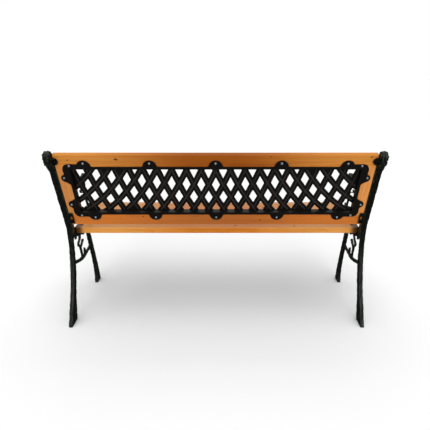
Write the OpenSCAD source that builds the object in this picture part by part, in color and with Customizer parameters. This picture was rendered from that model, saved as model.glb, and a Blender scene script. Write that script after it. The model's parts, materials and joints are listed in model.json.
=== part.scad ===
// Garden bench. Two cast-iron ends carry five varnished seat slats and a wooden back frame,
// and a moulded lattice panel is screwed to the rear of that frame.
// Millimetres, +Z up. The sitter faces -Y. The origin is on the ground, under the middle
// of the bench. "Left" is -X, the left hand of someone who looks at the bench from the front.

/* [Overall] */
// Length over the crests of the two end castings
bench_length = 1264; // [1100:2:1500]
// Height of the seat's rear edge above the ground
seat_height = 384; // [370:1:420]
// Lean of the back from upright, in degrees
back_lean = 19.2; // [18:0.2:21]

/* [Seat] */
// Width of one seat slat
slat_w = 56; // [50:1:60]
// Thickness of a seat slat
slat_t = 29; // [22:1:32]
// Gap between two slats
slat_gap = 9; // [6:1:12]
// Rise of the seat towards the front, in degrees
seat_slope = 5; // [3:1:7]
// Fall of the front slat, in degrees
front_fall = 8; // [4:1:12]
// Radius of a slat's long edges
slat_r = 6; // [3:1:8]

/* [Back] */
// Height of the opening in the back frame
window_h = 212; // [200:2:216]
// Height of the top rail
top_rail_h = 56; // [52:1:62]
// Height of the bottom rail
bottom_rail_h = 60; // [56:1:64]
// Width of a stile
stile_w = 49; // [46:1:60]
// Thickness of the back frame's wood
frame_t = 20; // [18:1:24]
// Depth of the notch in a rail that takes a stile's end
housing = 12.5; // [8:0.5:14]

/* [Lattice] */
// Thickness of the panel's flange and of its walls
skin = 2.5; // [2:0.5:3]
// Thickness of the lattice ribs
rib_t = 4; // [3:0.5:6]
// Half of the distance between two holes of a row
pitch = 28.7; // [26:0.1:31]
// Half size of a hole, as a share of its cell
hole_share = 0.54; // [0.40:0.01:0.60]

/* [Castings] */
// Thickness of the legs and of the rail under the seat
plate_t = 18; // [14:1:20]
// Thickness of the upright behind the back frame's ends
upright_t = 27; // [22:1:30]
// How far the crest stands out past the casting's outer face
crest_out = 4; // [2:1:8]
// Thickness of the scrollwork
scroll_t = 12; // [8:1:15]

/* [Fasteners] */
// Diameter of the coach bolts
bolt_d = 6; // [5:1:6]
// Clearance around a bolt's shank, on the radius
bolt_play = 0.3; // [0.1:0.1:0.5]
// Diameter of the panel's and the strap's screws
screw_d = 4; // [3:0.5:4]
// Diameter of the stile dowels
dowel_d = 8; // [6:1:10]

/* [Hidden] */
$fn = 48;

iron = [0.10, 0.11, 0.10];
varnish = [0.76, 0.42, 0.14];
moulding = [0.11, 0.09, 0.08];
zinc = [0.72, 0.74, 0.76];
beech = [0.80, 0.66, 0.46];

// Fit between two solids that only touch
gap = 0.05;

// -- stations along X, from the middle of the bench --
plate_out = bench_length / 2 - crest_out;    // outer face of a casting
plate_in = plate_out - plate_t;              // inner face of its legs and rail
upright_in = plate_out - upright_t;          // inner face of its upright
frame_half = upright_in - 1;                 // end of the back frame
slat_half = plate_in - 1;                    // end of a slat
bolt_x = frame_half - 8;                     // every coach bolt
ear_in = bolt_x - 10;                        // inner end of a lug or an ear

// -- the side view of a casting: p runs forward from the heel, z runs up --
// The outlines are drawn for a seat whose rear edge is at [p, z] = drawn_edge and whose front
// slat starts at drawn_front. They grow with the seat's height, and a point ahead of the seat's
// rear edge moves with the seat's depth.
slats = 5;
seat_run = (slats - 1) * (slat_w + slat_gap);    // rear edge of the seat to the front slat
drawn_edge = [189, 384];
drawn_front = [449, 407];
grow = seat_height / drawn_edge[1];
stretch = seat_run / (drawn_front[0] - drawn_edge[0]);
edge_p = drawn_edge[0] * grow;
front_reach = edge_p + seat_run * cos(seat_slope) + slat_w * cos(front_fall)
    - slat_r * (cos(front_fall) + sin(front_fall) - 1);
// The back's middle is drawn at drawn_back, and the crest's knob stands crest_up above the
// window and crest_behind the rear face of the wood.
drawn_back = [68.8, 580.6];
crest_r = 24;
crest_up = 50.3;
crest_behind = 3.6;
rear_reach = crest_r + (window_h / 2 + crest_up) * sin(back_lean) + crest_behind * cos(back_lean)
    - drawn_back[0] * grow;
heel_y = (front_reach - rear_reach) / 2;
function side(p, z) = [
    heel_y - (p <= drawn_edge[0] ? p * grow : edge_p + (p - drawn_edge[0]) * stretch),
    z * grow
];
function outline(points) = [for (q = points) side(q[0], q[1])];

// A tilted plane seen from the side: d runs along it to the front and h stands square to it.
function tilted(origin, angle, d, h) =
    origin + [h * sin(angle) - d * cos(angle), h * cos(angle) + d * sin(angle)];
seat_edge = side(drawn_edge[0], drawn_edge[1]);
function seat(d, h) = tilted(seat_edge, seat_slope, d, h);
front_edge = seat(seat_run, 0);
function front(d, h) = tilted(front_edge, -front_fall, d, h);

// The back frame's rear face: s runs up it from the middle, off stands forward of it.
back_mid = side(drawn_back[0], drawn_back[1]);
function back(s, off) = back_mid
    + [s * sin(back_lean) - off * cos(back_lean), s * cos(back_lean) + off * sin(back_lean)];

// -- curves --
// One point of a Catmull-Rom curve between b and c
function curve(a, b, c, d, t) = 0.5 * (2 * b + (c - a) * t
    + (2 * a - 5 * b + 4 * c - d) * t * t + (3 * b - a - 3 * c + d) * t * t * t);
// A smooth open line through all the points, with n steps between two of them
function smooth(q, n = 4) = let (m = len(q) - 1) [
    for (i = [0:m - 1]) for (k = [0:n - 1])
        curve(q[max(i - 1, 0)], q[i], q[i + 1], q[min(i + 2, m)], k / n),
    q[m]
];
function flip(q) = [for (i = [len(q) - 1:-1:0]) q[i]];
// The left-hand normal of a line at its point i
function normal(q, i) = let (
    e = q[min(i + 1, len(q) - 1)] - q[max(i - 1, 0)]
) [-e[1], e[0]] / norm(e);
// A branch: a smooth line through the points [p, z, width]
function branch(points) = let (
    q = smooth(points, 5),
    line = [for (e = q) side(e[0], e[1])],
    half = [for (e = q) e[2] * grow / 2],
    rim = function (hand) [for (i = [0:len(q) - 1]) line[i] + normal(line, i) * hand * half[i]]
) concat(rim(1), flip(rim(-1)));

// -- seat frames and back frame in 3D --
module in_plane(origin, angle) {
    translate([0, origin[0], origin[1]]) rotate([-angle, 0, 0]) children();
}
module on_back() {
    in_plane(back_mid, back_lean) children();
}
// Slat k of the seat, counted from the rear
module on_slat(k) {
    if (k == slats - 1) in_plane(front_edge, -front_fall) children();
    else in_plane(seat(k * (slat_w + slat_gap), 0), seat_slope) children();
}
// A side-view shape between the stations from and to, on both ends or on one
module plate(from, to) {
    translate([from, 0, 0]) rotate([90, 0, 90]) linear_extrude(to - from) children();
}
// A shape drawn on the back's rear face as [x, s], raised forward from off by depth
module slab(off, depth) {
    translate([0, -off, 0]) rotate([90, 0, 0]) linear_extrude(depth) children();
}
module both_sides() {
    children();
    mirror([1, 0, 0]) children();
}
module rounded(w, h, r) {
    translate([r, 0]) square([w - 2 * r, h]);
    translate([0, r]) square([w, h - 2 * r]);
    for (x = [r, w - r]) for (y = [r, h - r]) translate([x, y]) circle(r);
}

// ---------------------------------------------------------------- end castings
ear_t = 10;
rail_top = -15;          // top of the rail, below the top of the slats
rail_h = 26;
lug_t = 8;
lug_r = 16;              // half height of a lug
upright_back = -4;       // rear and front of the upright, from the rear face of the wood
upright_front = 25;
mid_h = window_h / 2;    // from the middle of the back to the window's edge

leg_rear = concat(
    outline([[0, 0], [33, 65], [67, 123], [92.5, 187], [112, 253], [123, 310], [125, 360],
        [123, 410]]),
    [for (k = [-1.27, -0.9, 0, 1]) back(k * mid_h, upright_back)]
);
leg_front = concat(
    outline([[70, 0], [80, 36], [104, 122], [130, 187], [146, 262], [153, 329], [158, 378]]),
    [for (k = [-1.68, -1.32, -0.9, 0, 1.4]) back(k * mid_h, upright_front)]
);
fore_rear = outline([[403, 0], [413, 48], [405, 114], [386, 188], [365, 261], [346, 330],
    [340, 366]]);
fore_front = outline([[459, 0], [450, 46], [430, 124], [411, 188], [385, 270], [367, 335],
    [365, 366]]);
neck = smooth([for (q = [[-10, 0], [0, -6], [15, -13], [30, -22], [42, -17], [47, -4], [44, 10],
    [34, 19], [10, 20]]) back(mid_h + q[0], q[1])]);
knob_round = 11;
rail_low = rail_top - rail_h;
rail = concat(
    smooth(concat(outline([[150, 425], [158, 405], [172, 393]]), [seat(slat_w / 7, rail_top / 15),
        seat(slat_w / 2, rail_top * 0.8), seat(slat_w, rail_top), seat(slat_w * 2, rail_top)])),
    [seat(seat_run - 2, rail_top)],
    smooth([front(2, rail_top), front(slat_w * 0.78, rail_top),
        front(slat_w * 0.91, rail_top - rail_h / 3), front(slat_w * 0.75, rail_top - rail_h * 0.8),
        front(4, rail_low)]),
    smooth([seat(seat_run - 6, rail_low), seat(slat_w * 2, rail_low), seat(slat_w * 0.25, rail_low),
        side(186, 349), side(166, 347), side(140, 345)])
);
under_leaf = smooth(outline([[196, 350], [206, 336], [222, 330], [238, 336], [256, 330],
    [268, 342], [274, 358]]));
spur = outline([[198, 352], [190, 326], [196, 324], [210, 348]]);
thorn = outline([[282, 206], [288, 246], [294, 246], [302, 206]]);
stretcher = branch([[138, 240, 20], [171, 229, 16], [215, 217, 15], [259, 210, 16], [310, 213, 15],
    [364, 217, 16], [386, 224, 20]]);
twig = branch([[256, 205, 14], [247, 238, 10], [236, 273, 10], [222, 284, 9], [219, 296, 9],
    [240, 307, 10], [250, 322, 11], [252, 345, 14]]);
shoot = branch([[238, 266, 10], [250, 270, 9], [263, 277, 9], [274, 285, 9]]);
arm = branch([[80, 598, 26], [105, 596, 18], [140, 584, 14], [190, 567, 13], [255, 557, 13],
    [320, 555, 13], [365, 559, 12], [400, 561, 12]]);
arm_end = side(402, 561);
support = branch([[400, 384, 24], [409, 410, 13], [402, 436, 9], [396, 462, 9], [394, 495, 9],
    [397, 520, 10], [402, 552, 12]]);
curl = branch([[396, 474, 8], [378, 486, 6], [360, 492, 5], [346, 495, 4.5], [335, 497, 4.5],
    [332, 505, 4.5], [338, 510, 4], [344, 506, 4]]);
bud = branch([[394, 392, 16], [383, 406, 11], [385, 418, 6]]);
fore_bud = branch([[420, 392, 16], [433, 405, 12], [443, 416, 6]]);

module casting_plate() {
    plate(plate_in, plate_out) {
        polygon(concat(smooth(leg_rear), flip(smooth(leg_front))));
        polygon(concat(smooth(fore_rear), flip(smooth(fore_front))));
        polygon(rail);
    }
}
// The stout part of the upright, beside the back frame and down past the seat
module casting_upright() {
    plate(upright_in, plate_out) {
        polygon([back(-1.55 * mid_h, upright_back), back(mid_h, upright_back),
            back(1.4 * mid_h, upright_front / 3), back(1.4 * mid_h, upright_front),
            back(-1.4 * mid_h, upright_front)]);
        intersection() {
            polygon(concat(smooth(leg_rear), flip(smooth(leg_front))));
            polygon(outline([[80, 360], [180, 372], [180, 470], [80, 470]]));
        }
    }
}
module casting_crest() {
    plate(upright_in, plate_out + crest_out) polygon(neck);
    knob = back(mid_h + crest_up, -crest_behind);
    translate([upright_in, knob[0], knob[1]]) rotate([0, 90, 0]) rotate_extrude() knob_section();
}
// Half of the section through the crest's knob, along its axis
module knob_section() {
    reach = upright_t + crest_out;
    translate([0, knob_round]) square([crest_r, reach - 2 * knob_round]);
    square([crest_r - knob_round, reach]);
    for (y = [knob_round, reach - knob_round]) translate([crest_r - knob_round, y]) circle(knob_round);
}
module casting_scrolls() {
    mid = (plate_in + plate_out) / 2;
    plate(mid - scroll_t / 2, mid + scroll_t / 2) {
        polygon(stretcher);
        polygon(twig);
        polygon(shoot);
        translate(side(279, 288)) circle(7 * grow);
        polygon(under_leaf);
        polygon(spur);
        polygon(thorn);
        polygon(support);
        polygon(curl);
        polygon(bud);
        polygon(fore_bud);
    }
    plate(plate_in, plate_out) {
        polygon(arm);
        translate(arm_end) circle(11.5 * grow);
    }
}
// Lugs behind the back frame, one at the top rail and one at the bottom rail
upper_bolt_s = mid_h + housing + lug_r * 1.1;
lower_bolt_s = -mid_h - housing - lug_r * 1.53;
upper_lug_s = upper_bolt_s + lug_r / 8;
upper_lug_r = lug_r * 1.1;
lower_lug_h = lug_r * 3.4;
lug_root = upright_in + 6;
slot_h = lug_r * 1.05;
module casting_lugs() {
    on_back() slab(-lug_t, lug_t) {
        translate([ear_in + lug_r, upper_lug_s]) {
            circle(upper_lug_r);
            translate([0, -upper_lug_r]) square([lug_root - ear_in - lug_r, 2 * upper_lug_r]);
        }
        translate([ear_in, lower_bolt_s - lug_r]) square([lug_root - ear_in, lower_lug_h]);
    }
}
module casting_ears() {
    for (k = [0:slats - 1]) on_slat(k)
        translate([ear_in, 6 - slat_w, -slat_t - ear_t])
            cube([plate_in + 1 - ear_in, slat_w - 12, ear_t]);
}
// The bolt holes of one casting, and the slot below the bottom rail's bolt
module casting_bores() {
    bore = bolt_d / 2 + bolt_play;
    for (k = [0:slats - 1]) on_slat(k)
        translate([bolt_x, -slat_w / 2, -slat_t - ear_t - 1]) cylinder(h = ear_t + 2, r = bore);
    on_back() for (s = [upper_bolt_s, lower_bolt_s])
        translate([bolt_x, -1, s]) rotate([-90, 0, 0]) cylinder(h = lug_t + 2, r = bore);
    on_back() slab(-lug_t - 1, lug_t + 2) {
        translate([bolt_x - bore, lower_bolt_s]) square([2 * bore, slot_h]);
        translate([bolt_x, lower_bolt_s + slot_h]) circle(bore);
    }
}
module end_casting() {
    difference() {
        union() {
            casting_plate();
            casting_upright();
            casting_crest();
            casting_scrolls();
            casting_lugs();
            casting_ears();
        }
        casting_bores();
    }
}
module end_casting_right() {
    color(iron) end_casting();
}
module end_casting_left() {
    color(iron) mirror([1, 0, 0]) end_casting();
}

// ---------------------------------------------------------------- seat
module seat_slat(k) {
    color(varnish) difference() {
        on_slat(k) translate([-slat_half, 0, 0]) rotate([90, 0, 90])
            linear_extrude(2 * slat_half) translate([-slat_w, -slat_t]) rounded(slat_w, slat_t, slat_r);
        both_sides() on_slat(k) translate([bolt_x, -slat_w / 2, -slat_t - 1])
            cylinder(h = slat_t + 2, r = bolt_d / 2 + bolt_play);
        on_slat(k) translate([0, -slat_w / 2, -slat_t - 1])
            cylinder(h = strap_bite + 1 + gap, r = screw_d / 2 + gap);
    }
}
strap_t = 3;
strap_w = 25;
strap_bite = 14;
// A flat bar under the middle of the seat, bent where the front slat falls away
module seat_strap() {
    bend = slat_t * tan((seat_slope + front_fall) / 2);
    color(iron) difference() {
        plate(-strap_w / 2, strap_w / 2) polygon([
            seat(12, -slat_t), seat(seat_run - bend, -slat_t), front(slat_w - 14, -slat_t),
            front(slat_w - 14, -slat_t - strap_t), seat(seat_run - bend, -slat_t - strap_t * 1.01),
            seat(12, -slat_t - strap_t)
        ]);
        for (k = [0:slats - 1]) on_slat(k) translate([0, -slat_w / 2, -slat_t - strap_t - 1])
            cylinder(h = strap_t + 2, r = screw_d / 2 + 0.2);
    }
}
module strap_screws() {
    color(zinc) for (k = [0:slats - 1]) on_slat(k)
        translate([0, -slat_w / 2, -slat_t - strap_t]) screw(strap_t + strap_bite);
}

// A pan-head screw that goes up from a face at z = 0, with its head below
module screw(length) {
    cylinder(h = length, d = screw_d);
    difference() {
        translate([0, 0, -2.4]) cylinder(h = 2.4, r1 = screw_d * 0.8, r2 = screw_d * 1.1);
        for (a = [0, 90]) rotate([0, 0, a]) translate([-2.2, -0.4, -3.4]) cube([4.4, 0.8, 2]);
    }
}
head_h = 3;
washer_t = 1.2;
nut_h = bolt_d * 0.8;
// A coach bolt whose head sits on z = 0 and whose shank goes down
module coach_bolt(grip) {
    head_r = bolt_d * 1.1;
    ball = (head_r * head_r + head_h * head_h) / (2 * head_h);
    translate([0, 0, -grip - washer_t - nut_h - 3]) cylinder(h = grip + washer_t + nut_h + 4, d = bolt_d);
    intersection() {
        translate([0, 0, head_h - ball]) sphere(ball);
        cylinder(h = head_h + 1, r = head_r);
    }
}
module washer() {
    difference() {
        cylinder(h = washer_t, d = bolt_d * 2);
        translate([0, 0, -1]) cylinder(h = washer_t + 2, d = bolt_d + 0.4);
    }
}
module nut() {
    difference() {
        cylinder(h = nut_h, d = bolt_d * 1.92, $fn = 6);
        translate([0, 0, -1]) cylinder(h = nut_h + 2, d = bolt_d + 0.1);
    }
}

seat_grip = slat_t + ear_t;
module at_seat_bolts() {
    both_sides() for (k = [0:slats - 1]) on_slat(k) translate([bolt_x, -slat_w / 2, 0]) children();
}
module seat_bolts() {
    color(iron) at_seat_bolts() coach_bolt(seat_grip);
}
module seat_washers() {
    color(zinc) at_seat_bolts() translate([0, 0, -seat_grip - washer_t]) washer();
}
module seat_nuts() {
    color(zinc) at_seat_bolts() translate([0, 0, -seat_grip - washer_t - nut_h]) nut();
}

// ---------------------------------------------------------------- back frame
window_half = frame_half - stile_w;
// All the holes that the bolts, the panel's screws and the dowels need in the wood
module frame_bores() {
    at_back_bolts() translate([0, 0, -frame_t - 1])
        cylinder(h = frame_t + 2, r = bolt_d / 2 + bolt_play);
    at_panel_screws() cylinder(h = screw_len + gap, r = screw_d / 2 + gap);
    at_dowels() cylinder(h = dowel_len + 1, d = dowel_d + 2 * gap, center = true);
}
module rail_outline(h) {
    difference() {
        translate([-frame_half, 0]) square([2 * frame_half, h]);
        for (x = [-frame_half - 1, window_half]) translate([x, -1])
            square([stile_w + 1, housing + 1]);
    }
}
module back_top_rail() {
    color(varnish) difference() {
        on_back() slab(0, frame_t) translate([0, window_h / 2]) rail_outline(top_rail_h);
        frame_bores();
    }
}
module back_bottom_rail() {
    color(varnish) difference() {
        on_back() slab(0, frame_t) translate([0, -window_h / 2]) mirror([0, 1])
            rail_outline(bottom_rail_h);
        frame_bores();
    }
}
module back_stile(x) {
    color(varnish) difference() {
        on_back() slab(0, frame_t) translate([x, -window_h / 2 - housing])
            square([stile_w, window_h + 2 * housing]);
        frame_bores();
    }
}
module back_stile_left() {
    back_stile(-frame_half);
}
module back_stile_right() {
    back_stile(window_half);
}

dowel_len = 36;
module at_dowels() {
    both_sides() on_back() for (x = [window_half + 9, window_half + 27]) for (e = [-1, 1])
        translate([x, -frame_t / 2, e * (window_h / 2 + housing)]) children();
}
module stile_dowels() {
    color(beech) at_dowels() cylinder(h = dowel_len, d = dowel_d, center = true);
}

// The back's coach bolts: z = 0 is the front face of the wood
back_grip = frame_t + lug_t;
module at_back_bolts() {
    both_sides() on_back() for (s = [upper_bolt_s, lower_bolt_s])
        translate([bolt_x, -frame_t, s]) rotate([90, 0, 0]) children();
}
module back_bolts() {
    color(iron) at_back_bolts() coach_bolt(back_grip);
}
module back_washers() {
    color(zinc) at_back_bolts() translate([0, 0, -back_grip - washer_t]) washer();
}
module back_nuts() {
    color(zinc) at_back_bolts() translate([0, 0, -back_grip - washer_t - nut_h]) nut();
}

// ---------------------------------------------------------------- lattice panel
screw_len = 14;
flange_w = 7;                                    // width of the flange on the wood
flange_half = window_half + flange_w;            // half length of the flange between its lobes
flange_top = window_h / 2 + flange_w;            // half height of the flange between its tabs
tray_x = window_half - 0.5;                      // outer faces of the tray's walls
tray_s = window_h / 2 - 0.5;
wall = skin + 0.5;
tabs = 5;
tab_r = 25;                                      // radius of a tab
tab_x = window_half - 2.3 * tab_r;               // the outermost tab
corner_screw = [window_half - 0.16 * tab_r, mid_h + 0.46 * tab_r];
side_screw = [window_half + 1.06 * tab_r, 0.6 * mid_h];
panel_screw_places = concat(
    [for (i = [0:tabs - 1]) [tab_x * (2 * i / (tabs - 1) - 1), flange_top + 0.6 * tab_r]],
    [corner_screw, side_screw, [-corner_screw[0], corner_screw[1]], [-side_screw[0], side_screw[1]]]
);
module at_panel_screws() {
    on_back() for (q = panel_screw_places) for (e = [-1, 1])
        translate([q[0], skin, e * q[1]]) rotate([90, 0, 0]) children();
}
module panel_screws() {
    color(zinc) at_panel_screws() screw(screw_len);
}

// A round tab on the flange, drawn about its foot in units of its radius
tab_shape = let (half = tab_r * [[0, 1.12], [0.42, 1.03], [0.76, 0.8], [0.96, 0.5], [1.04, 0.28],
        [1.12, 0.1], [1.4, 0]])
    smooth(concat(flip([for (q = half) [-q[0], q[1]]]), [for (i = [1:len(half) - 1]) half[i]]));
// One corner of the flange, drawn about the corner of the window in the same unit
lobe_shape = smooth(tab_r * [[0.28, -4], [0.28, -3.1], [0.4, -2.8], [0.84, -2.48], [1.28, -2.24],
    [1.5, -1.84], [1.4, -1.4], [1.08, -1.16], [0.94, -0.88], [0.98, -0.48], [0.92, 0.04],
    [0.64, 0.52], [0.16, 0.72], [-0.64, 0.72], [-1.4, 0.72], [-1.84, 0.72]]);
module flange_outline() {
    square([2 * flange_half, 2 * flange_top], center = true);
    for (q = panel_screw_places) if (abs(q[0]) <= tab_x) for (e = [0, 1]) mirror([0, e])
        translate([q[0], flange_top - 0.5])
            polygon(concat(tab_shape, tab_r * [[1.4, -0.12], [-1.4, -0.12]]));
    for (a = [0, 1]) for (b = [0, 1]) mirror([a, 0]) mirror([0, b])
        translate([window_half, window_h / 2])
            polygon(concat(lobe_shape, tab_r * [[-1.84, -0.24], [-0.24, -0.24], [-0.24, -4]]));
}

// The lattice is a net of ribs bent upwards at its ends: i counts along a row and j counts rows.
level = 19.7;
row = 62.5;
function net(i, j) = [
    pitch * i * (1 - 0.026 * j),
    level + row * (j + 0.038 * j * j) + pitch * (0.0063 - 0.001 * j) * i * i
];
function hole(i, j) = [
    net(i + hole_share, j), net(i, j + hole_share), net(i - hole_share, j), net(i, j - hole_share)
];
columns = ceil(tray_x / pitch);
// One side of the net, without the middle column. The two holes in its corners are larger.
module lattice_holes() {
    for (j = [-3:1]) for (i = [1:columns]) if ((i + j) % 2 == 0) {
        in_view = abs(net(i, j)[1]) < tray_s + row / 20 && net(i, j)[0] < tray_x + pitch / 4;
        if (in_view) polygon(hole(i, j));
    }
    polygon([net(18.8, 0.3), net(18.2, 0.9), net(17.5, 0), net(18, -0.5)]);
    polygon([net(17.9, -3.4), net(17, -2.5), net(16.5, -3), net(17.4, -3.9)]);
}
module lattice_shape() {
    difference() {
        square([2 * tray_x - wall, 2 * tray_s - wall], center = true);
        for (j = [0, -2]) polygon(hole(0, j));
        lattice_holes();
        mirror([1, 0]) lattice_holes();
    }
}
// The blind gusset in each upper corner, drawn about that corner in units of the pitch
module gusset() {
    translate([tray_x, tray_s]) polygon(pitch
        * [[-0.48, -0.1], [0, -0.1], [0, -3.5], [-0.7, -3.5], [-1.1, -2.3]]);
}
module tray_ring(inset) {
    square([2 * (tray_x - inset), 2 * (tray_s - inset)], center = true);
}
module lattice_panel() {
    color(moulding) difference() {
        on_back() {
            slab(-skin, skin) difference() {
                flange_outline();
                tray_ring(wall);
            }
            slab(-skin / 2, frame_t + skin / 2) difference() {
                tray_ring(0);
                tray_ring(wall);
            }
            slab(frame_t - rib_t, rib_t) {
                lattice_shape();
                gusset();
                mirror([1, 0]) gusset();
            }
        }
        at_panel_screws() translate([0, 0, -1]) cylinder(h = skin + 2, r = screw_d / 2 + 0.2);
    }
}

// ---------------------------------------------------------------- drawn parts
end_casting_left();
end_casting_right();
seat_slat(0);  // seat_slat_1
seat_slat(1);  // seat_slat_2
seat_slat(2);  // seat_slat_3
seat_slat(3);  // seat_slat_4
seat_slat(4);  // seat_slat_5
seat_strap();
strap_screws();
seat_bolts();
seat_washers();
seat_nuts();
back_top_rail();
back_bottom_rail();
back_stile_left();
back_stile_right();
stile_dowels();
back_bolts();
back_washers();
back_nuts();
lattice_panel();
panel_screws();
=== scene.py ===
# %% [markdown]
# # A garden bench with iron ends
# The bench is seen from behind: two cast-iron ends, five varnished seat slats, a wooden back
# frame and a moulded lattice panel screwed to it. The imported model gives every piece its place
# and size. This lesson gives each piece its edges, its relief and its finish, in the same frame.

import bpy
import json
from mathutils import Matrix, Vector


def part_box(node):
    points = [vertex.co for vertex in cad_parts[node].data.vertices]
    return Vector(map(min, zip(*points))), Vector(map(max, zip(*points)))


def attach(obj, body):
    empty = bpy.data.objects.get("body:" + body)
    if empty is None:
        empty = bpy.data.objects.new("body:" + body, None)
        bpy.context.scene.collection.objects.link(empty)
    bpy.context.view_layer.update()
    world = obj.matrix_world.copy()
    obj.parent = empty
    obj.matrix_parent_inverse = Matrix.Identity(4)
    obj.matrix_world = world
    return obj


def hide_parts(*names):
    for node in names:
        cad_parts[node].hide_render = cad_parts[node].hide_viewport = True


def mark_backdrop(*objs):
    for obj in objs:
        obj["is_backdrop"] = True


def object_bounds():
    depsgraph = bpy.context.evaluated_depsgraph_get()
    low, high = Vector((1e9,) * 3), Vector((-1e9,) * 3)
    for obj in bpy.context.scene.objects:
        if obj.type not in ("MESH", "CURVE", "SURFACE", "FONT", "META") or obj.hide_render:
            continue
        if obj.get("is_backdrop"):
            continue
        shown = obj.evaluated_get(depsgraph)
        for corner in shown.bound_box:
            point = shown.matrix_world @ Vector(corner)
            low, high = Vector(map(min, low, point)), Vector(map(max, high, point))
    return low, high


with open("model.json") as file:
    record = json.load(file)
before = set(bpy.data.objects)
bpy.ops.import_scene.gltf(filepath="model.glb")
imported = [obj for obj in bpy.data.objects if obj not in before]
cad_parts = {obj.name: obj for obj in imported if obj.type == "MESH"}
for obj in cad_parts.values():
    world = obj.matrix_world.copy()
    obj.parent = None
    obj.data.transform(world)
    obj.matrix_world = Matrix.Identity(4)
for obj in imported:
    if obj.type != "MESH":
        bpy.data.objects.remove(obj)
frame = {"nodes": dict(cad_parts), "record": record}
cad_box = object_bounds()
print("nodes:", len(frame["nodes"]), "box:", [round(c, 4) for corner in cad_box for c in corner])

# %% Python modules and the unit
import json
import math

import bmesh
import bpy
from mathutils import Matrix, Vector, noise
from mathutils.bvhtree import BVHTree

MM = 0.001
scene = bpy.context.scene
print("one millimetre is", MM, "m")

# %% [markdown]
# ## Small helpers for materials
# A colour is written as a paint chart gives it, in sRGB hex, and Blender wants linear values, so
# one function turns one into the other. Shader nodes are added by one function too, because a
# material is then a list of what goes into what, and reads from top to bottom.

# %% Colours and shader nodes
def linear(hex_colour):
    """An sRGB hex colour as a linear RGBA tuple."""
    parts = [int(hex_colour[i:i + 2], 16) / 255 for i in (1, 3, 5)]
    return (*[c / 12.92 if c <= 0.04045 else ((c + 0.055) / 1.055) ** 2.4 for c in parts], 1)


def add(tree, kind, inputs=None, **settings):
    """Adds a shader node. settings are its properties, and inputs are its sockets: a value, or
    another node's output to link."""
    made = tree.nodes.new("ShaderNode" + kind)
    for name, value in settings.items():
        setattr(made, name, value)
    for socket, value in (inputs or {}).items():
        if isinstance(value, bpy.types.NodeSocket):
            tree.links.new(value, made.inputs[socket])
        else:
            made.inputs[socket].default_value = value
    return made


print("mid grey #808080 is", [round(c, 3) for c in linear("#808080")])

# %% The start and the end of a material
def start_material(name):
    """An empty material and its node tree."""
    material = bpy.data.materials.new(name)
    material.use_nodes = True
    material.node_tree.nodes.clear()
    return material, material.node_tree


def finish_material(tree, **sockets):
    """Ends a material in one Principled surface."""
    surface = add(tree, "BsdfPrincipled", {k.replace("_", " "): v for k, v in sockets.items()})
    add(tree, "OutputMaterial", {"Surface": surface.outputs["BSDF"]})


print("materials so far:", len(bpy.data.materials))

# %% [markdown]
# ## The tilted frames
# The seat rises towards the front, its last slat falls away, and the back leans. Grain and
# edges could be drawn at those angles, but it is simpler to work square to each board. So each
# of these frames has X along the bench, Y through a board and Z up it, and one turn brings it
# to the board's own angle.

# %% Tilted frames
BACK_LEAN = 19.2
SEAT_SLOPE = 5.0
FRONT_FALL = 8.0


def tilt(degrees):
    """The turn about X that leans Z backwards by so many degrees."""
    return Matrix.Rotation(-math.radians(degrees), 3, "X")


lean = tilt(BACK_LEAN)
seat_tilt = tilt(SEAT_SLOPE)
front_tilt = tilt(-FRONT_FALL)
print("back leans", BACK_LEAN, "degrees, seat rises", SEAT_SLOPE, "and falls", FRONT_FALL)

# %% A node's box in a tilted frame
def own_box(node, turn):
    """A node's lowest and highest corner in a tilted frame."""
    inverse = turn.transposed()
    points = [inverse @ v.co for v in frame["nodes"][node].data.vertices]
    return Vector(map(min, zip(*points))), Vector(map(max, zip(*points)))


stile_lo, stile_hi = own_box("back_stile_left", lean)
window_s = (stile_lo.z + stile_hi.z) / 2
wood_rear = stile_hi.y
print("middle of the back, up the slope:", round(window_s, 4),
      "rear of the wood:", round(wood_rear, 4))

# %% [markdown]
# ## The studio
# The bench stands on a white floor that runs into a white wall, under one wide softbox and a
# few smaller ones. Area lamps could stand in for them, but they fade along a bench of this
# length. Suns with a wide angle light both ends alike and still cast soft shadows. The camera
# sees a white floor and a white room. Reflections see a darker room, so the gloss of varnish,
# enamel and plastic comes from the softboxes and the colours stay deep.

# %% World
AMBIENT = 0.06
DIM = 0.10


def make_world():
    """White to the camera, dim to reflections, and a plain level of light elsewhere."""
    world = bpy.data.worlds.new("white studio")
    world.use_nodes = True
    tree = world.node_tree
    tree.nodes.clear()
    rays = add(tree, "LightPath")
    level = add(tree, "MapRange", {"Value": rays.outputs["Is Glossy Ray"], "To Min": AMBIENT,
                                   "To Max": DIM})
    level = add(tree, "Math", {0: level.outputs[0], 1: rays.outputs["Is Camera Ray"]},
                operation="MAXIMUM")
    light = add(tree, "Background", {"Color": (1, 1, 1, 1), "Strength": level.outputs[0]})
    add(tree, "OutputWorld", {"Surface": light.outputs[0]})
    return world


scene.world = make_world()
print("ambient level:", AMBIENT, "and in reflections:", DIM)

# %% Floor
FLOOR_HALF = 30
FLOOR_WHITE = "#eeeeee"
FLOOR_IN_GLOSS = "#5a5a5a"


def floor_finish():
    """Matt white. Bounced light sees it a little greyer, and reflections see it dim."""
    material, tree = start_material("white studio floor")
    rays = add(tree, "LightPath")
    white = add(tree, "Mix", {"Factor": rays.outputs["Is Camera Ray"],
                              "A": linear(FLOOR_WHITE), "B": (1, 1, 1, 1)}, data_type="RGBA")
    white = add(tree, "Mix", {"Factor": rays.outputs["Is Glossy Ray"],
                              "A": white.outputs["Result"], "B": linear(FLOOR_IN_GLOSS)},
                data_type="RGBA")
    finish_material(tree, Base_Color=white.outputs["Result"], Roughness=1.0,
                    Specular_IOR_Level=0.0)
    return material


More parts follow.
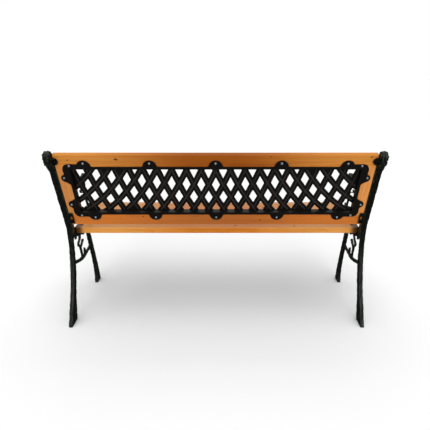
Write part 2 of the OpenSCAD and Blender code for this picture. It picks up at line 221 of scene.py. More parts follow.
def make_floor():
    """A wide floor at the height of the feet."""
    bm = bmesh.new()
    bmesh.ops.create_grid(bm, x_segments=1, y_segments=1, size=FLOOR_HALF)
    mesh = bpy.data.meshes.new("studio floor")
    bm.to_mesh(mesh)
    bm.free()
    mesh.materials.append(floor_finish())
    floor = bpy.data.objects.new("studio_floor", mesh)
    scene.collection.objects.link(floor)
    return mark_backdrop(floor)


make_floor()
print("floor reaches", FLOOR_HALF, "m each way")

# %% Softboxes
# name, strength, and then the spread, azimuth and elevation in degrees
SOFTBOXES = (
    ("overhead softbox", 2.14, 80, 180, 90),
    ("rear softbox", 1.0, 40, 180, 40),
    ("low rear softbox", 0.7, 40, 180, 10),
    ("front softbox", 0.34, 50, 0, 22),
)


def make_sun(name, strength, spread, azimuth, elevation):
    """A far, soft lamp that shines from an azimuth and an elevation. Azimuth 0 is in front of
    the bench and 180 behind it."""
    lamp = bpy.data.lights.new(name, "SUN")
    lamp.energy = strength
    lamp.angle = math.radians(spread)
    a, e = math.radians(azimuth), math.radians(elevation)
    towards = Vector((math.sin(a) * math.cos(e), -math.cos(a) * math.cos(e), math.sin(e)))
    made = bpy.data.objects.new(name, lamp)
    made.rotation_euler = towards.to_track_quat("Z", "Y").to_euler()
    scene.collection.objects.link(made)
    return made


for softbox in SOFTBOXES:
    made = make_sun(*softbox)
    print("lamp:", made.name, made.data.energy)

# %% [markdown]
# ## The camera
# The bench is looked at from behind and a little above, from about one and a half metres. A
# Track To constraint could aim the camera, but plain numbers say where it stands and how it
# tips. The distance is counted from the crest of the castings, the rearmost point of the bench,
# so the camera keeps its distance if the bench gets deeper.

# %% Camera
CAMERA_SIDE = -0.029
CAMERA_BACK = 1.560
CAMERA_HEIGHT = 1.061
CAMERA_PITCH = 21.27
LENS_MM = 36.47
SHIFT_X = -0.0195
SHIFT_Y = 0.0328

camera = bpy.data.objects.new("camera", bpy.data.cameras.new("camera"))
camera.data.lens = LENS_MM
camera.data.shift_x = SHIFT_X
camera.data.shift_y = SHIFT_Y
camera.location = (CAMERA_SIDE, cad_box[1].y + CAMERA_BACK, CAMERA_HEIGHT)
camera.rotation_euler = (math.radians(90 - CAMERA_PITCH), 0, math.pi)
scene.collection.objects.link(camera)
scene.camera = camera
scene.view_settings.view_transform = "Standard"
print("camera at", [round(c, 3) for c in camera.location])

# %% [markdown]
# ## From a node to a piece
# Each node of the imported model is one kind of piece, and comes as a cloud of loose triangles.
# It could be drawn again from nothing, but its size and place are already right. So a copy is
# merged, and its flat areas become one face each: then a bevel finds the real edges and leaves
# the flats alone. The piece rides on the bench's one body and replaces the node.

# %% A clean copy of a node
WELD = 0.002 * MM
FLAT_WITHIN = 0.3


def merged(node):
    """A bmesh copy of a node, with its triangles joined and its flat areas whole."""
    bm = bmesh.new()
    bm.from_mesh(frame["nodes"][node].data)
    bmesh.ops.remove_doubles(bm, verts=bm.verts, dist=WELD)
    bmesh.ops.dissolve_limit(bm, angle_limit=math.radians(FLAT_WITHIN), verts=bm.verts,
                             edges=bm.edges)
    return bm


sample = merged("seat_slat_1")
print("faces of one seat slat:", len(sample.faces))
sample.free()

# %% Making pieces
def make_piece(name, bm, material, nodes, crease=35):
    """Turns a bmesh into a finished piece: shaded smooth up to the crease angle, riding on the
    bench, with its finish, in place of its nodes."""
    mesh = bpy.data.meshes.new(name)
    bm.to_mesh(mesh)
    bm.free()
    mesh.shade_smooth()
    mesh.set_sharp_from_angle(angle=math.radians(crease))
    mesh.materials.append(material)
    piece = bpy.data.objects.new(name, mesh)
    scene.collection.objects.link(piece)
    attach(piece, "root")
    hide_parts(*nodes)
    return piece


def ease_edges(piece, width, segments=3, angle=40):
    """Rounds the piece's sharp edges."""
    bevel = piece.modifiers.new("eased edges", "BEVEL")
    bevel.width = width
    bevel.segments = segments
    bevel.limit_method = "ANGLE"
    bevel.angle_limit = math.radians(angle)
    bevel.harden_normals = False
    return piece


slots = {m["slot"] for m in frame["record"]["materials"]}
print("slots:", sorted(slots))

# %% [markdown]
# ## Varnished pine
# The boards are sawn pine under an orange-brown stain and a clear varnish. Wood can be an image
# that is wrapped round a board, but then the figure doesn't carry on round its edges. Here the
# tree is a pattern in space, in each board's own millimetres, and the board is a slice through
# it, so face, edge and end agree. The next cells add one thing each: growth rings, knots,
# fibres and stain, and at last what the weather does.

# %% A board's own millimetres
def board_space(tree, centre, turn):
    """Object coordinates, and the same in mm from the board's middle with X along its grain."""
    place = add(tree, "TexCoord").outputs["Object"]
    own = add(tree, "Mapping", {"Vector": place, "Location": centre,
                                "Rotation": turn.to_euler(), "Scale": (MM, MM, MM)},
              vector_type="TEXTURE")
    return place, own.outputs[0]


print("pine is drawn in units of", MM, "m")

# %% [markdown]
# ## Growth rings
# A tree grows in shells around its pith: pale early wood, then darker late wood. A wave texture
# draws even stripes. The distance from a slightly tilted line below the board's face is nearly
# as simple, and it draws the long arches of flat-sawn wood. A slow noise bends the space first,
# because no tree grows quite straight.

# %% Growth rings
RING_MM = 3.4
LATE_WOOD_FROM = 0.3
LATE_WOOD_TO = 0.95
WANDER_MM = (240, 40, 40)
WANDER_BY_MM = 9.0


def heart_distance(tree, own, pith, drift):
    """The distance in mm from the heart of the tree, which runs at pith from the board's middle
    and is turned by drift degrees."""
    slow = add(tree, "Mapping", {"Vector": own, "Scale": [1 / mm for mm in WANDER_MM]})
    wander = add(tree, "TexNoise", {"Vector": slow.outputs[0], "Scale": 1.0, "Detail": 2.0})
    wander = add(tree, "VectorMath", {0: wander.outputs["Color"], 1: (0.5, 0.5, 0.5)},
                 operation="SUBTRACT")
    wander = add(tree, "VectorMath", {0: wander.outputs[0], "Scale": WANDER_BY_MM},
                 operation="SCALE")
    bent = add(tree, "VectorMath", {0: own, 1: wander.outputs[0]}, operation="ADD")
    heart = add(tree, "Mapping", {"Vector": bent.outputs[0], "Location": (0, *pith),
                                  "Rotation": [math.radians(d) for d in (0, *drift)]},
                vector_type="TEXTURE")
    flat = add(tree, "VectorMath", {0: heart.outputs[0], 1: (0, 1, 1)}, operation="MULTIPLY")
    return add(tree, "VectorMath", {0: flat.outputs[0]}, operation="LENGTH").outputs["Value"]


def late_wood(tree, depth):
    """Rises from 0 to 1 in each ring, from its early wood to its late wood."""
    ring = add(tree, "Math", {0: depth, 1: RING_MM}, operation="DIVIDE")
    ring = add(tree, "Math", {0: ring.outputs[0]}, operation="FRACT")
    return add(tree, "MapRange", {"Value": ring.outputs[0], "From Min": LATE_WOOD_FROM,
                                  "From Max": LATE_WOOD_TO},
               interpolation_type="SMOOTHSTEP").outputs[0]


print("one ring every", RING_MM, "mm")

# %% [markdown]
# ## Knots
# Where a branch grew, a board has a small dark spot and the rings flow round it. Spots could be
# painted on, but the rings would run straight through them. Here a knot is a stretched ball of
# distance. It adds to the distance from the heart, which presses the rings aside, and it marks
# its core for a darker brown. The ball goes right through the board, so a knot shows on both
# faces.

# %% Knots
KNOT_STRETCH = 1.8
KNOT_PUSH = 1.6
KNOT_REACH = 4.0
KNOT_FULL = 0.6
CORE_REACH = 1.4
CORE_FULL = 0.4
THROUGH = 1e6


def knot_distance(tree, own, knot, lying):
    """The distance from a knot in its own radii. A lying board's face looks along Z, and a
    standing one's along Y."""
    along, across, radius = knot
    middle = (along, across, 0) if lying else (along, 0, across)
    length = radius * KNOT_STRETCH
    size = (length, radius, THROUGH) if lying else (length, THROUGH, radius)
    away = add(tree, "Mapping", {"Vector": own, "Location": middle, "Scale": size},
               vector_type="TEXTURE")
    return add(tree, "VectorMath", {0: away.outputs[0]}, operation="LENGTH").outputs["Value"]


def press_knots(tree, own, depth, knots, lying):
    """The distance from the heart with the knots in it, and a mark of their cores, which is
    None on a clear board."""
    cores = None
    for knot in knots:
        away = knot_distance(tree, own, knot, lying)
        near = add(tree, "MapRange", {"Value": away, "From Min": KNOT_REACH,
                                      "From Max": KNOT_FULL, "To Max": knot[2] * KNOT_PUSH},
                   interpolation_type="SMOOTHSTEP")
        depth = add(tree, "Math", {0: depth, 1: near.outputs[0]}, operation="ADD").outputs[0]
        core = add(tree, "MapRange", {"Value": away, "From Min": CORE_REACH,
                                      "From Max": CORE_FULL},
                   interpolation_type="SMOOTHSTEP").outputs[0]
        cores = core if cores is None else add(tree, "Math", {0: cores, 1: core},
                                               operation="MAXIMUM").outputs[0]
    return depth, cores


print("a knot presses the rings aside by", KNOT_PUSH, "of its radius")

# %% [markdown]
# ## Fibres and stain
# Stained pine is uneven: darker in its late wood, along its fibres and in broad streaks. One
# gradient over the rings alone would look printed. So the three patterns are added up to one
# share of stain, which picks the colour. Near the ends of a board it picks from a paler wood,
# which is painted light.

# %% Fibres
# Real fibres are a few hundredths of a millimetre wide. These are as wide as they need to show.
FIBRE_MM = 0.9
FIBRE_LENGTH_MM = 80.0
STREAK_MM = (300, 40, 9)


def fibre_noise(tree, own):
    """Fine lines along the grain."""
    fine = add(tree, "Mapping", {"Vector": own, "Scale": (
        1 / FIBRE_LENGTH_MM, 1 / FIBRE_MM, 1 / FIBRE_MM)})
    return add(tree, "TexNoise", {"Vector": fine.outputs[0], "Scale": 1.0, "Detail": 3.0,
                                  "Roughness": 0.65}).outputs["Fac"]


def streak_noise(tree, own):
    """Broad streaks along the grain."""
    broad = add(tree, "Mapping", {"Vector": own, "Scale": [1 / mm for mm in STREAK_MM]})
    return add(tree, "TexNoise", {"Vector": broad.outputs[0], "Scale": 1.0,
                                  "Detail": 3.0}).outputs["Fac"]


print("fibres", FIBRE_MM, "mm wide, streaks", STREAK_MM[2], "mm")

# %% Stain, and painted light at the ends
RING_SHARE = 0.30
FIBRE_SHARE = 0.5
STREAK_SHARE = 1.1
LEAST_STAIN = 0.45
MOST_STAIN = 1.35
# Painted light: the boards are paler towards their ends.
LIT_ENDS_FROM_MM = 60.0
LIT_ENDS_TO_MM = 520.0
LIT_ENDS_SHARE = 0.5


def stain_share(tree, rings, fibres, streaks):
    """How dark the stained wood is, from 0 to 1."""
    share = add(tree, "Math", {0: rings, 1: RING_SHARE}, operation="MULTIPLY")
    share = add(tree, "Math", {0: fibres, 1: FIBRE_SHARE, 2: share.outputs[0]},
                operation="MULTIPLY_ADD")
    share = add(tree, "Math", {0: streaks, 1: STREAK_SHARE, 2: share.outputs[0]},
                operation="MULTIPLY_ADD")
    return add(tree, "MapRange", {"Value": share.outputs[0], "From Min": LEAST_STAIN,
                                  "From Max": MOST_STAIN}).outputs[0]


def stain_and_lit_ends(tree, own, share, early, late, ends):
    """The stain, early to late by its share, and paler towards the ends as painted light."""
    colour = add(tree, "Mix", {"Factor": share, "A": linear(early), "B": linear(late)},
                 data_type="RGBA").outputs["Result"]
    along = add(tree, "SeparateXYZ", {"Vector": own})
    along = add(tree, "Math", {0: along.outputs["X"]}, operation="ABSOLUTE")
    lit_ends_fade = add(tree, "MapRange", {"Value": along.outputs[0], "From Min": LIT_ENDS_FROM_MM,
                                  "From Max": LIT_ENDS_TO_MM}, interpolation_type="SMOOTHSTEP")
    less = add(tree, "Math", {0: share, 1: LIT_ENDS_SHARE}, operation="MULTIPLY")
    lit_end_colour = add(tree, "Mix", {"Factor": less.outputs[0], "A": linear(ends), "B": colour},
               data_type="RGBA")
    return add(tree, "Mix", {"Factor": lit_ends_fade.outputs[0], "A": colour,
                             "B": lit_end_colour.outputs["Result"]}, data_type="RGBA").outputs["Result"]


# The painted light at the ends fades in between these two distances.
print("the stain thins from", LIT_ENDS_FROM_MM, "to", LIT_ENDS_TO_MM, "mm from a board's middle")

# %% [markdown]
# ## Painted shade and sheen, and bounced light
# The upper faces of the seat are painted duller and darker, a painted shade and sheen, and
# near the castings the wood is painted almost black, a painted shade. Both could be drawn in a
# mask, but both follow from where a point is: the first from the way its face looks, the second
# from its place along the bench. A last step is for the studio: light that bounces off a board
# sees a dull grey, so the white floor below the seat stays neutral.

# %% Painted shade, sheen and bounced light
# A painted shade and sheen on faces that look up.
UPWARD_SHADE_AND_SHEEN = "#8e6152"
UPWARD_SHADE_FROM = 0.6
UPWARD_SHADE_TO = 0.98
UPWARD_SHADE_MOST = 0.42
# A painted shade on the wood near the castings.
PAINTED_SHADE_NEAR_IRON = "#2e1206"
NEAR_IRON_SHADE_MOST = 0.88
BOUNCE_GREY = "#3c3a38"


def painted_upward_shade_and_sheen(tree, colour):
    """Painted shade and sheen: duller and darker where a face looks up."""
    facing = add(tree, "NewGeometry")
    facing = add(tree, "SeparateXYZ", {"Vector": facing.outputs["Normal"]})
    share = add(tree, "MapRange", {"Value": facing.outputs["Z"], "From Min": UPWARD_SHADE_FROM,
                                   "From Max": UPWARD_SHADE_TO, "To Max": UPWARD_SHADE_MOST})
    return add(tree, "Mix", {"Factor": share.outputs[0], "A": colour,
                             "B": linear(UPWARD_SHADE_AND_SHEEN)}, data_type="RGBA").outputs["Result"]


def shade_near_iron(tree, place, colour, begins, ends):
    """Painted shade: nearly black where the board meets the castings, from begins to ends
    along the bench.
    """
    along = add(tree, "SeparateXYZ", {"Vector": place})
    along = add(tree, "Math", {0: along.outputs["X"]}, operation="ABSOLUTE")
    share = add(tree, "MapRange", {"Value": along.outputs[0], "From Min": begins * MM,
                                   "From Max": ends * MM, "To Max": NEAR_IRON_SHADE_MOST},
                interpolation_type="SMOOTHSTEP")
    return add(tree, "Mix", {"Factor": share.outputs[0], "A": colour,
                             "B": linear(PAINTED_SHADE_NEAR_IRON)}, data_type="RGBA").outputs["Result"]


def grey_to_bounces(tree, colour):
    """The colour to the eye, and a dull grey to bounced light."""
    rays = add(tree, "LightPath")
    return add(tree, "Mix", {"Factor": rays.outputs["Is Diffuse Ray"], "A": colour,
                             "B": linear(BOUNCE_GREY)}, data_type="RGBA").outputs["Result"]


# The most of the painted shade and sheen on upward faces, and of the painted shade near the
# castings.
print("sun dulls up to", UPWARD_SHADE_MOST, "and iron stains up to", NEAR_IRON_SHADE_MOST)

# %% The whole finish
KNOT_BROWN = "#6a2c08"


def varnished_pine(name, centre, turn, pith, drift, early, late, ends, gloss, knots=(),
                   iron_shade_span=(596, 602), lying=False):
    """Pine for one board. centre and turn are its frame, pith is the distance from its middle
    to the heart of the tree in mm, drift tilts that line in degrees, early, late and ends are
    the colours of the wood, its rings and its painted lighter ends, gloss is the share of
    varnish, knots are (along, across, radius) in mm on its face, and the span near the iron is
    how far along the bench, in mm, the painted shade near the castings begins and ends. A lying
    board has its face upwards, which gets a painted shade and sheen."""
    material, tree = start_material(name)
    place, own = board_space(tree, centre, turn)
    depth = heart_distance(tree, own, pith, drift)
    depth, cores = press_knots(tree, own, depth, knots, lying)
    fibres = fibre_noise(tree, own)
    share = stain_share(tree, late_wood(tree, depth), fibres, streak_noise(tree, own))
    # The stain, with painted light towards the ends.
    colour = stain_and_lit_ends(tree, own, share, early, late, ends)
    # Painted shade and sheen on faces that look up.
    if lying:
        colour = painted_upward_shade_and_sheen(tree, colour)
    # Painted shade near the castings.
    colour = shade_near_iron(tree, place, colour, *iron_shade_span)
    if cores is not None:
        colour = add(tree, "Mix", {"Factor": cores, "A": colour, "B": linear(KNOT_BROWN)},
                     data_type="RGBA").outputs["Result"]
    raised = add(tree, "Bump", {"Height": fibres, "Strength": 0.10, "Distance": 0.2 * MM})
    finish_material(tree, Base_Color=grey_to_bounces(tree, colour), Roughness=0.5,
                    Specular_IOR_Level=0.12, Normal=raised.outputs[0], Coat_Weight=gloss,
                    Coat_Roughness=0.10)
    return material


print("pine is ready for", sum("slat" in n for n in frame["nodes"]), "slats")

# %% [markdown]
# ## The boards
# The seat has five sawn slats, and the back is a frame of two rails and two stiles. Planed
# boards have their sharp edges taken off, so each has a small rounded bevel. It is a modifier,
# because its width can then be changed without making the board again. Every board but the two
# stiles gets a pith of its own, as boards from one pile do, or all would show the same figure.

# %% Boards
BOARD_EDGE = 1.6 * MM


def board(node, name, turn, along_z=False, **look):
    """One board: its node with eased edges, and pine whose grain runs along it."""
    lo, hi = own_box(node, turn)
    centre = turn @ ((lo + hi) / 2)
    grain = turn @ Matrix.Rotation(math.radians(-90), 3, "Y") if along_z else turn
    pine = varnished_pine("varnished pine " + name.replace("_", " "), centre, grain, **look)
    return ease_edges(make_piece(name, merged(node), pine, [node]), BOARD_EDGE)


print("board edges eased by", BOARD_EDGE / MM, "mm")

# %% Seat slats
# The slats get painted light at their ends, painted shade near the castings, and painted shade
# and sheen on top.
HONEY = dict(early="#f09430", late="#d87a1a", ends="#ffb45a", gloss=0.5, iron_shade_span=(570, 600),
             lying=True)
# along, across and radius of each knot in mm, on the slat's face
KNOTS = {
    1: [(-82, 8, 4.0), (-337, 14, 3.5)],
    2: [(310, -6, 4.0)],
    3: [(-430, 9, 3.5), (150, -12, 3.0)],
    4: [(-220, 4, 4.5)],
    5: [(40, -8, 3.5), (465, 10, 3.0)],
}
FRONT_SLAT = 5

for k, knots in KNOTS.items():  # each slat is cut from another part of its tree
    node = f"seat_slat_{k}"
    board(node, node + "_board", front_tilt if k == FRONT_SLAT else seat_tilt, knots=knots,
          pith=(-30 - 9 * k, 11 * (k % 3) - 14), drift=(0.8 - 0.3 * k, 0.5), **HONEY)
print("slats made:", len(KNOTS))

# %% Back frame
# The ends colour of the rails is painted light.
board("back_top_rail", "back_top_rail_board", lean, pith=(55, -20), drift=(0.4, 0.7),
      early="#a95a08", late="#944803", ends="#e3953f", gloss=0.15,
      knots=[(369, 11, 4.5), (-575, 21, 3.0), (548, 8, 2.5), (-205, 24, 2.0)])
board("back_bottom_rail", "back_bottom_rail_board", lean, pith=(60, 12), drift=(-0.5, 0.6),
      early="#bf6e2b", late="#ab5d24", ends="#da7c2c", gloss=0.15,
      knots=[(300, 10, 2.5), (-180, -8, 2.5)])
for side, early, late in (("left", "#ee9f55", "#d8883f"), ("right", "#dc9450", "#c47c3c")):
    board("back_stile_" + side, f"back_stile_{side}_board", lean, along_z=True, pith=(48, 8),
          drift=(0.7, -0.6), early=early, late=late, ends=early, gloss=0.15)

# %% [markdown]
# ## Black moulded plastic
# The lattice is one injection moulding in black polypropylene. It leaves the mould with a fine
# spark-eroded grain, so it is satin and never quite black. Its beads are smoother and shine
# more, and their lighter near-black is a painted highlight. Two separate materials could be
# built, but one function makes both, because they are one plastic in two colours and surfaces.

# %% Plastic
# The real grain is about a tenth of a millimetre. It is drawn as coarse as it needs to show.
MOULD_GRAIN_MM = 0.9
FLOW_MM = 60


def moulded_plastic(name, dark, light, shine, rough):
    """Black polypropylene with the grain of its mould, between two near blacks."""
    material, tree = start_material(name)
    place = add(tree, "TexCoord")
    grain = add(tree, "TexNoise", {"Vector": place.outputs["Object"],
                                   "Scale": 1 / (MOULD_GRAIN_MM * MM), "Detail": 2.0})
    flow = add(tree, "TexNoise", {"Vector": place.outputs["Object"],
                                  "Scale": 1 / (FLOW_MM * MM), "Detail": 3.0})
    colour = add(tree, "Mix", {"Factor": flow.outputs["Fac"], "A": linear(dark),
                               "B": linear(light)}, data_type="RGBA")
    bump = add(tree, "Bump", {"Height": grain.outputs["Fac"], "Strength": 0.25,
                              "Distance": 0.15 * MM})
    finish_material(tree, Base_Color=colour.outputs["Result"], Roughness=rough,
                    Specular_IOR_Level=shine, Normal=bump.outputs[0])
    return material


plastic = moulded_plastic("black moulded polypropylene", "#090807", "#15120f", 0.28, 0.42)
# The beads' lighter near-blacks are a painted highlight.
bead_highlight_plastic = moulded_plastic("black polypropylene with painted highlight", "#231e1b", "#38312c", 0.9, 0.3)
print("plastics:", plastic.name, "and", bead_highlight_plastic.name)

# %% [markdown]
# ## The lattice panel
# The moulding's flange, walls and ribs come from its node, with every edge rounded as a mould
# needs. Each rib then gets a bead along its middle. A bump could draw it, but a bead of real
# height also catches the light from the side. The ribs are the diagonals of a net whose rows
# bend upwards at the ends, so a bead is a curve through that net. On each half, the bead that
# climbs towards the middle lies over the other.

# %% The net of the ribs
PITCH = 28.7 * MM
LEVEL = 19.7 * MM
ROW = 62.5 * MM
NARROWER = 0.026
TALLER = 0.038
BEND = 0.0063
LESS_BEND = 0.001


def on_back(x, s, off):
    """A point of the back: along the bench, up the slope from the window's middle, and forward
    from the rear face of the wood."""
    return lean @ Vector((x, wood_rear - off, window_s + s))


def net(i, j):
    """The net's point i along row j. Each row up is narrower, taller and less bent."""
    x = PITCH * i * (1 - NARROWER * j)
    s = LEVEL + ROW * (j + TALLER * j * j) + PITCH * (BEND - LESS_BEND * j) * i * i
    return x, s


print("a point of the net, mm:", [round(c / MM, 1) for c in net(3, 0)])

# %% Lattice beads
TRAY_X = 0.5505
TRAY_S = 0.1055
CLEAR_X = 4 * MM
CLEAR_S = 3 * MM
PLATE_REAR = 16 * MM
BEAD_R = 3.6 * MM
BEAD_STARTS = range(-5, 24, 2)
BEAD_PROUD = {-1: 2.8 * MM, 1: 0.8 * MM}
STEPS_PER_ROW = 8
ROWS_EACH_WAY = 5


def bead_line(start, climb, half, off):
    """The points of one bead on one half of the panel. It leaves row 0 at column start and
    climbs towards the middle (climb = -1) or away from it (climb = 1)."""
    points = []
    steps = ROWS_EACH_WAY * STEPS_PER_ROW
    for n in range(-steps, steps + 1):
        i = start + climb * n / STEPS_PER_ROW
        x, s = net(i, n / STEPS_PER_ROW)
        if 0 <= i and x < TRAY_X - CLEAR_X and abs(s) < TRAY_S - CLEAR_S:
            points.append(on_back(half * x, s, off))
    return points


def bead_lines():
    """The points of every bead that is long enough to draw."""
    for half in (1, -1):
        for start in BEAD_STARTS:
            for climb, proud in BEAD_PROUD.items():
                points = bead_line(start, climb, half, PLATE_REAR + BEAD_R - proud)
                if len(points) > 1:
                    yield points


print("beads:", len(list(bead_lines())))

# %% Beads as rods
def bead_mesh():
    """All the beads as closed round rods, half sunk in the ribs."""
    curve = bpy.data.curves.new("beads", "CURVE")
    curve.dimensions = "3D"
    curve.bevel_depth = BEAD_R
    curve.bevel_resolution = 2
    curve.use_fill_caps = True
    for points in bead_lines():
        line = curve.splines.new("POLY")
        line.points.add(len(points) - 1)
        for spline_point, q in zip(line.points, points):
            spline_point.co = (*q, 1)
    rods = bpy.data.objects.new("beads", curve)
    scene.collection.objects.link(rods)
    bpy.context.view_layer.update()
    drawn = rods.evaluated_get(bpy.context.evaluated_depsgraph_get())
    mesh = bpy.data.meshes.new_from_object(drawn)
    bpy.data.objects.remove(rods)
    return mesh


bm = bmesh.new()
bm.from_mesh(bead_mesh())
print("points of all the rods:", len(bm.verts))

# %% The panel and its beads
MOULD_EDGE = 0.9 * MM

shell = make_piece("lattice_panel_moulding", merged("lattice_panel"), plastic,
                   ["lattice_panel"])
ease_edges(shell, MOULD_EDGE, segments=2)
bmesh.ops.remove_doubles(bm, verts=bm.verts, dist=0.001 * MM)
bmesh.ops.recalc_face_normals(bm, faces=bm.faces)
beads = make_piece("lattice_panel_beads", bm, bead_highlight_plastic, ["lattice_panel"])
print("bead faces:", len(beads.data.polygons))

# %% [markdown]
# ## Black cast iron
# The ends are sand-cast and stove-enamelled black. The sand leaves a coarse skin, and the
# ridges get a painted highlight in green. It could be drawn along each ridge, but the mesh
# knows its own ridges: its Pointiness is high there, and a patchy noise keeps the highlight
# from looking like a drawn line.

# %% Iron
# Moulding sand is about a third of a millimetre. It is drawn as coarse as it needs to show.
SAND_MM = 1.6
HIGHLIGHT_PATCH_MM = 14
RIDGE_FROM = 0.51
RIDGE_TO = 0.565


def cast_iron():
    """Black enamel over sand-cast iron, with a painted green highlight on its ridges."""
    material, tree = start_material("black enamelled cast iron")
    place = add(tree, "TexCoord")
    sand = add(tree, "TexNoise", {"Vector": place.outputs["Object"],
                                  "Scale": 1 / (SAND_MM * MM), "Detail": 3.0,
                                  "Roughness": 0.6})
    patch = add(tree, "TexNoise", {"Vector": place.outputs["Object"],
                                   "Scale": 1 / (HIGHLIGHT_PATCH_MM * MM), "Detail": 3.0})
    shape = add(tree, "NewGeometry")
    ridge_highlight = add(tree, "MapRange", {"Value": shape.outputs["Pointiness"],
                                   "From Min": RIDGE_FROM, "From Max": RIDGE_TO})
    highlight_patches = add(tree, "MapRange", {"Value": patch.outputs["Fac"], "From Min": 0.35,
                                  "From Max": 0.7})
    ridge_highlight = add(tree, "Math", {0: ridge_highlight.outputs[0], 1: highlight_patches.outputs[0]}, operation="MULTIPLY")
    # A painted highlight in green on the ridges.
    colour = add(tree, "Mix", {"Factor": ridge_highlight.outputs[0], "A": linear("#080b08"),
                               "B": linear("#42613d")}, data_type="RGBA")
    bump = add(tree, "Bump", {"Height": sand.outputs["Fac"], "Strength": 0.5,
                              "Distance": 0.5 * MM})
    finish_material(tree, Base_Color=colour.outputs["Result"], Roughness=0.36,
                    Specular_IOR_Level=0.28, Normal=bump.outputs[0])
    return material


iron = cast_iron()
print("iron:", iron.name)

# %% [markdown]
# ## An even skin for the castings
# The ends are cast like gnarled branches. The node gives their outline with flat sides and
# sharp edges, and relief needs small faces of one size. Subdividing would keep its long thin
# faces long and thin, so a copy is turned into an even skin by a voxel remesh and smoothed.
# That rounds every edge too, as sand casting does.

# %% An even skin
# At 1.6 mm and under, a casting has more than 200,000 triangles.
SKIN = 1.65 * MM
SMOOTHINGS = 4


def even_skin(bm, voxel):
    """The bmesh as one closed skin of even faces."""
    mesh = bpy.data.meshes.new("skin")
    bm.to_mesh(mesh)
    bm.free()
    rough = bpy.data.objects.new("skin", mesh)
    scene.collection.objects.link(rough)
    remesh = rough.modifiers.new("skin", "REMESH")
    remesh.mode = "VOXEL"
    remesh.voxel_size = voxel
    bpy.context.view_layer.update()
    even = bmesh.new()
    even.from_mesh(bpy.data.meshes.new_from_object(
        rough.evaluated_get(bpy.context.evaluated_depsgraph_get())))
    bpy.data.objects.remove(rough)
    for _ in range(SMOOTHINGS):
        bmesh.ops.smooth_vert(even, verts=even.verts, factor=0.5, use_axis_x=True,
                              use_axis_y=True, use_axis_z=True)
    return even


print("skin faces are", SKIN / MM, "mm wide")

# %% [markdown]
# ## Bark
# Long plates of bark run along the legs, and the crest is a lumpy bud. They could be sculpted,
# but a pattern that follows the leg is quicker and can be changed. The cells of a Voronoi
# pattern are the plates, and the gaps between them are pressed in. Points are moved inwards
# only, so the casting never grows out of its outline.

# %% The line that the bark follows
LEG_MIDDLE = 0.619
PROFILE_STEP = 5 * MM
PROFILE_POINTS = 145


def rear_profile(node, x):
    """The y of a casting's rear face at each height, as a function of z."""
    tree = BVHTree.FromBMesh(merged(node))
    found = {}
    for n in range(1, PROFILE_POINTS + 1):
        hit = tree.ray_cast(Vector((x, 1, n * PROFILE_STEP)), Vector((0, -1, 0)))[0]
        found[n] = hit.y if hit else found.get(n - 1, 0)

    def at(z):
        n = min(max(z / PROFILE_STEP, 1), PROFILE_POINTS - 1)
        low = int(n)
        above = found[min(low + 1, PROFILE_POINTS)]
        return found[low] + (above - found[low]) * (n - low)
    return at


print("profile read every", PROFILE_STEP / MM, "mm")

# %% Bark relief
GROOVE = 1.4 * MM
BUD = 3.2 * MM
SAND_DEPTH = 0.4 * MM
SAND_SIZE = 5 * MM
PLATE_WIDTH = 8 * MM
PLATE_DEPTH = 7 * MM
PLATE_LENGTH = 34 * MM
LUMP_SIZE = 13 * MM
CREST_R = 24 * MM
CREST_REACH = 2.4
CRACK_WIDTH = 0.45


def cracks(point):
    """0 in the cracks between the lumps of a bark-like pattern, and rising to 1 on the lumps."""
    near, far = noise.voronoi(point)[0][:2]
    return min(1.0, (far - near) / CRACK_WIDTH)


def bark(bm, profile, crest):
    """Presses bark into a casting's skin: long plates along its leg, and the lumps of a bud at
    its crest."""
    bm.normal_update()
    moved = []
    for v in bm.verts:
        across = (profile(v.co.z) - v.co.y) / PLATE_DEPTH
        plates = cracks(Vector((v.co.x / PLATE_WIDTH, across, v.co.z / PLATE_LENGTH)))
        lumps = cracks(v.co / LUMP_SIZE)
        away = (Vector(v.co.yz) - crest).length / CREST_R
        near = max(0.0, min(1.0, CREST_REACH - away))
        fine = 0.5 + 0.5 * noise.noise(v.co / SAND_SIZE)
        depth = GROOVE * (1 - plates) * (1 - near) + BUD * (1 - lumps) * near
        moved.append(v.co - v.normal * (depth + SAND_DEPTH * fine))
    for v, co in zip(bm.verts, moved):
        v.co = co


print("deepest relief, mm:", round((BUD + SAND_DEPTH) / MM, 1))

# %% The end castings
IRON_CREASE = 60


def end_casting(side):
    """One end casting, with its bark."""
    node = "end_casting_" + side
    bm = even_skin(merged(node), SKIN)
    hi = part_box(node)[1]
    middle = LEG_MIDDLE if side == "right" else -LEG_MIDDLE
    bark(bm, rear_profile(node, middle), Vector((hi[1] - CREST_R, hi[2] - CREST_R)))
    return make_piece(node + "_branches", bm, iron, [node], crease=IRON_CREASE)


for side in ("left", "right"):
    made = end_casting(side)
    print(made.name, "faces:", len(made.data.polygons))

# %% [markdown]
# ## Screws, bolts, washers and nuts
# The panel is held by pan-head screws in zinc plate, which grows a white bloom outdoors and
# then shines less like bare metal. The strap's screws and the seat's nuts and washers are the
# same. Coach bolts, the back's nuts and washers and the flat strap under the seat are black. A
# bump would make plating look rough, so it stays smooth, and only a faint cloud in its
# roughness shows what the plating barrel leaves.

# %% Plated steel
CLOUD_MM = 4
CLOUDY_BY = 0.08


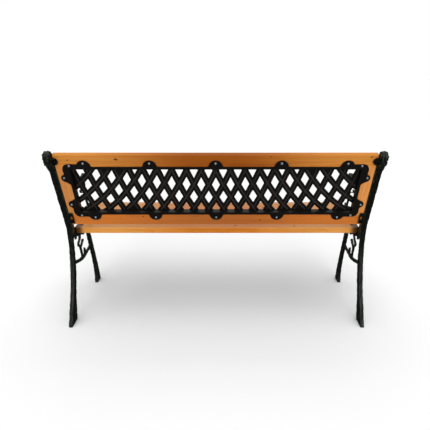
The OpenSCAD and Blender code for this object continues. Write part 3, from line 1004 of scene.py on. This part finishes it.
def plated_steel(name, tint, rough, bare=1.0):
    """Plated steel with the faint cloudiness of a barrel-plated finish. bare is the share that
    still shines as metal, next to the white bloom that zinc grows outdoors."""
    material, tree = start_material(name)
    place = add(tree, "TexCoord")
    cloud = add(tree, "TexNoise", {"Vector": place.outputs["Object"],
                                   "Scale": 1 / (CLOUD_MM * MM), "Detail": 3.0})
    dull = add(tree, "MapRange", {"Value": cloud.outputs["Fac"], "To Min": rough - CLOUDY_BY,
                                  "To Max": rough + CLOUDY_BY})
    finish_material(tree, Base_Color=linear(tint), Metallic=bare, Roughness=dull.outputs[0])
    return material


zinc = plated_steel("weathered zinc plate", "#cfd6dc", 0.34, 0.75)
black_steel = plated_steel("black oxide steel", "#2b2b2b", 0.4)
print("metals:", zinc.name, "and", black_steel.name)

# %% [markdown]
# ## Dowels
# Each joint of the back is held by turned dowels of bare beech, hidden inside the wood. Beech
# is pale and even, with short dark flecks along its grain. The pine's rings would be far too
# bold on so thin a rod, so a stretched noise draws the flecks alone.

# %% Beech
FLECK_MM = (0.5, 0.5, 6)


def turned_beech():
    """Bare beech, with its short flecks along the dowel."""
    material, tree = start_material("turned beech")
    place = add(tree, "TexCoord")
    own = add(tree, "Mapping", {"Vector": place.outputs["Object"], "Rotation": lean.to_euler(),
                                "Scale": [mm * MM for mm in FLECK_MM]}, vector_type="TEXTURE")
    fleck = add(tree, "TexNoise", {"Vector": own.outputs[0], "Scale": 1.0, "Detail": 2.0})
    colour = add(tree, "Mix", {"Factor": fleck.outputs["Fac"], "A": linear("#d9b98c"),
                               "B": linear("#b78f5f")}, data_type="RGBA")
    finish_material(tree, Base_Color=colour.outputs["Result"], Roughness=0.6)
    return material


beech = turned_beech()
print("dowels:", beech.name)

# %% Fixings
FIXING_EDGE = 0.35 * MM
FIXINGS = (
    ("panel_screws", zinc), ("strap_screws", zinc), ("seat_washers", zinc),
    ("seat_nuts", zinc), ("back_washers", black_steel), ("back_nuts", black_steel),
    ("seat_bolts", black_steel), ("back_bolts", black_steel), ("seat_strap", black_steel),
    ("stile_dowels", beech),
)

for node, finish in FIXINGS:
    ease_edges(make_piece(node + "_set", merged(node), finish, [node]), FIXING_EDGE,
               segments=2)
print("sets of fixings made:", len(FIXINGS))
